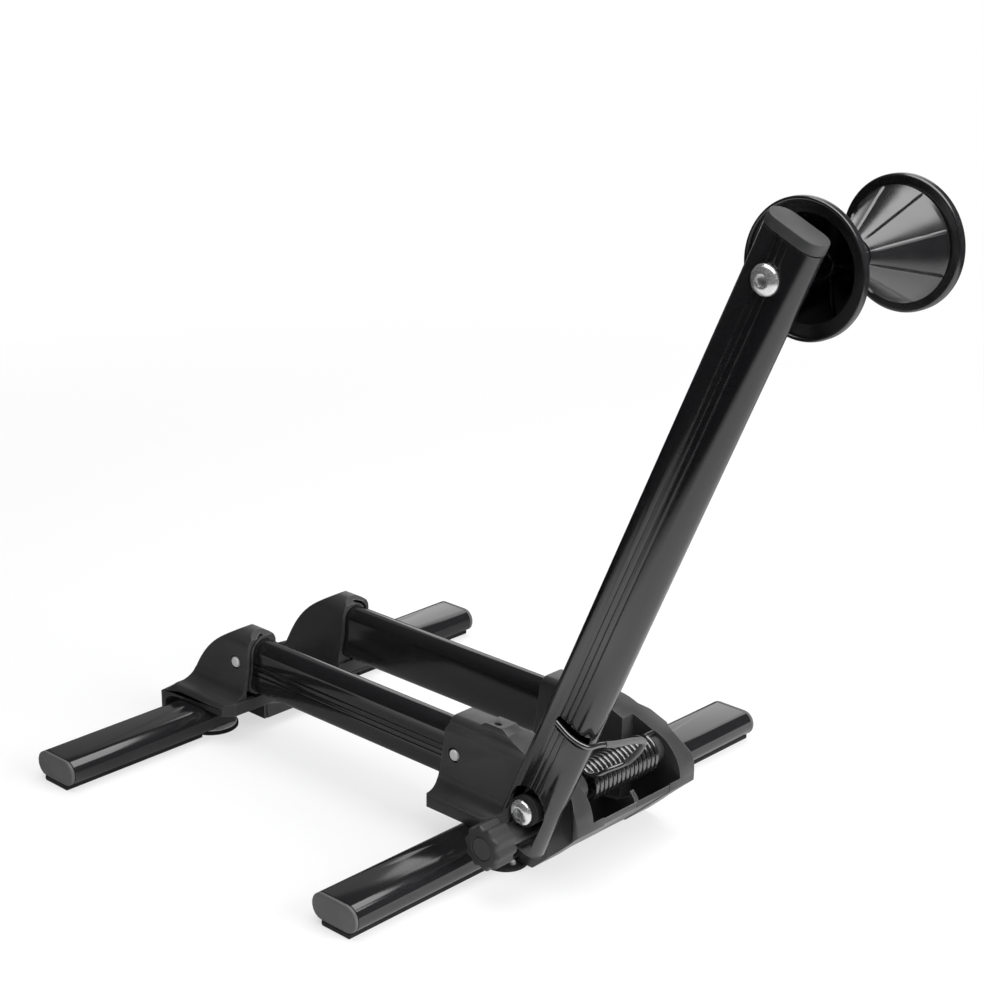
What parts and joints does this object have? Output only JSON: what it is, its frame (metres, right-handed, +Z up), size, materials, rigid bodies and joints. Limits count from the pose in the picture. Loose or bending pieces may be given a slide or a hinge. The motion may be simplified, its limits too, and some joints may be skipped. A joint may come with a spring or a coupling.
{
  "type": "bicycle parking stand",
  "caption": "Low floor stand that holds a bicycle upright by its wheel: side rails between moulded housings, fold-away legs and a sprung arm with cone rollers.",
  "frame": {"origin": "on the floor, on the plane of the wheel, midway between the back of the cone rollers and the nose of the front housings", "axes": "+Y towards the front housings, where the wheel rolls in; +X to the stand's right, away from the arm; +Z up"},
  "size_m": [0.372, 0.539, 0.4324],
  "materials": {
    "anodised": "black anodised, satin with fine lengthwise grain",
    "moulding": "black glass-filled moulding, fine grain",
    "plug": "dark grey moulding, matt",
    "rubber": "black rubber, matt",
    "roller": "black moulding, half gloss",
    "chrome": "bright plated",
    "spring_steel": "blackened wire, half gloss",
    "dark_steel": "blackened steel"
  },
  "bodies": {
    "base": {"rail_left": "anodised", "rail_right": "anodised", "housing_front_left": "moulding", "housing_front_right": "moulding", "housing_rear_left": "moulding", "housing_rear_right": "moulding", "cheek_screw_front_left": "chrome", "cheek_screw_front_right": "chrome", "cheek_screw_rear_left": "chrome", "cheek_screw_rear_right": "chrome", "leg_pin_front_left": "dark_steel", "leg_pin_front_right": "dark_steel", "leg_pin_rear_left": "dark_steel", "leg_pin_rear_right": "dark_steel", "leg_washer_front_left": "chrome", "leg_washer_front_right": "chrome", "leg_washer_rear_left": "chrome", "leg_washer_rear_right": "chrome", "leg_foot_front_left": "rubber", "leg_foot_front_right": "rubber", "leg_foot_rear_left": "rubber", "leg_foot_rear_right": "rubber", "foot_rivet_left": "chrome", "foot_rivet_right": "chrome", "pivot_shaft": "dark_steel", "pivot_washer": "rubber", "pivot_bolt": "chrome"},
    "swing_arm": {"arm": "anodised", "arm_plug": "plug", "arm_hub": "moulding", "lock_barrel": "moulding", "torsion_spring": "spring_steel", "axle_bolt": "chrome", "axle_nut": "chrome", "axle_spacer": "dark_steel"},
    "left_cone": {"roller_left": "roller"},
    "right_cone": {"roller_right": "roller"},
    "lock_knob": {"knob": "moulding", "knob_cap": "plug"},
    "front_left_leg": {"leg_front_left": "anodised", "leg_plug_front_left": "plug", "leg_pad_front_left": "rubber"},
    "front_right_leg": {"leg_front_right": "anodised", "leg_plug_front_right": "plug", "leg_pad_front_right": "rubber"},
    "rear_left_leg": {"leg_rear_left": "anodised", "leg_plug_rear_left": "plug", "leg_pad_rear_left": "rubber"},
    "rear_right_leg": {"leg_rear_right": "anodised", "leg_plug_rear_right": "plug", "leg_pad_rear_right": "rubber"}
  },
  "joints": [
    {"name": "arm_swing", "type": "hinge", "parent": "base", "child": "swing_arm", "pos_m": [0, -0.0787, 0.0532], "axis": [-1, 0, 0], "range_deg": [-8, 110], "stiffness_Nm_per_rad": 0.5, "springref_deg": 60.16, "deforming": ["torsion_spring"]},
    {"name": "left_cone_spin", "type": "hinge", "parent": "swing_arm", "child": "left_cone", "pos_m": [0, -0.23197, 0.39567], "axis": [1, 0, 0], "continuous": true},
    {"name": "right_cone_spin", "type": "hinge", "parent": "swing_arm", "child": "right_cone", "pos_m": [0, -0.23197, 0.39567], "axis": [1, 0, 0], "continuous": true},
    {"name": "knob_turn", "type": "hinge", "parent": "swing_arm", "child": "lock_knob", "pos_m": [-0.0973, -0.07114, 0.03631], "axis": [-1, 0, 0], "range_deg": [0, 540]},
    {"name": "fold_front_left", "type": "hinge", "parent": "base", "child": "front_left_leg", "pos_m": [-0.055, 0.2335, 0], "axis": [0, 0, 1], "range_deg": [0, 90]},
    {"name": "fold_front_right", "type": "hinge", "parent": "base", "child": "front_right_leg", "pos_m": [0.055, 0.2335, 0], "axis": [0, 0, -1], "range_deg": [0, 90]},
    {"name": "fold_rear_left", "type": "hinge", "parent": "base", "child": "rear_left_leg", "pos_m": [-0.055, -0.0335, 0], "axis": [0, 0, -1], "range_deg": [0, 90]},
    {"name": "fold_rear_right", "type": "hinge", "parent": "base", "child": "rear_right_leg", "pos_m": [0.055, -0.0335, 0], "axis": [0, 0, 1], "range_deg": [0, 90]}
  ]
}
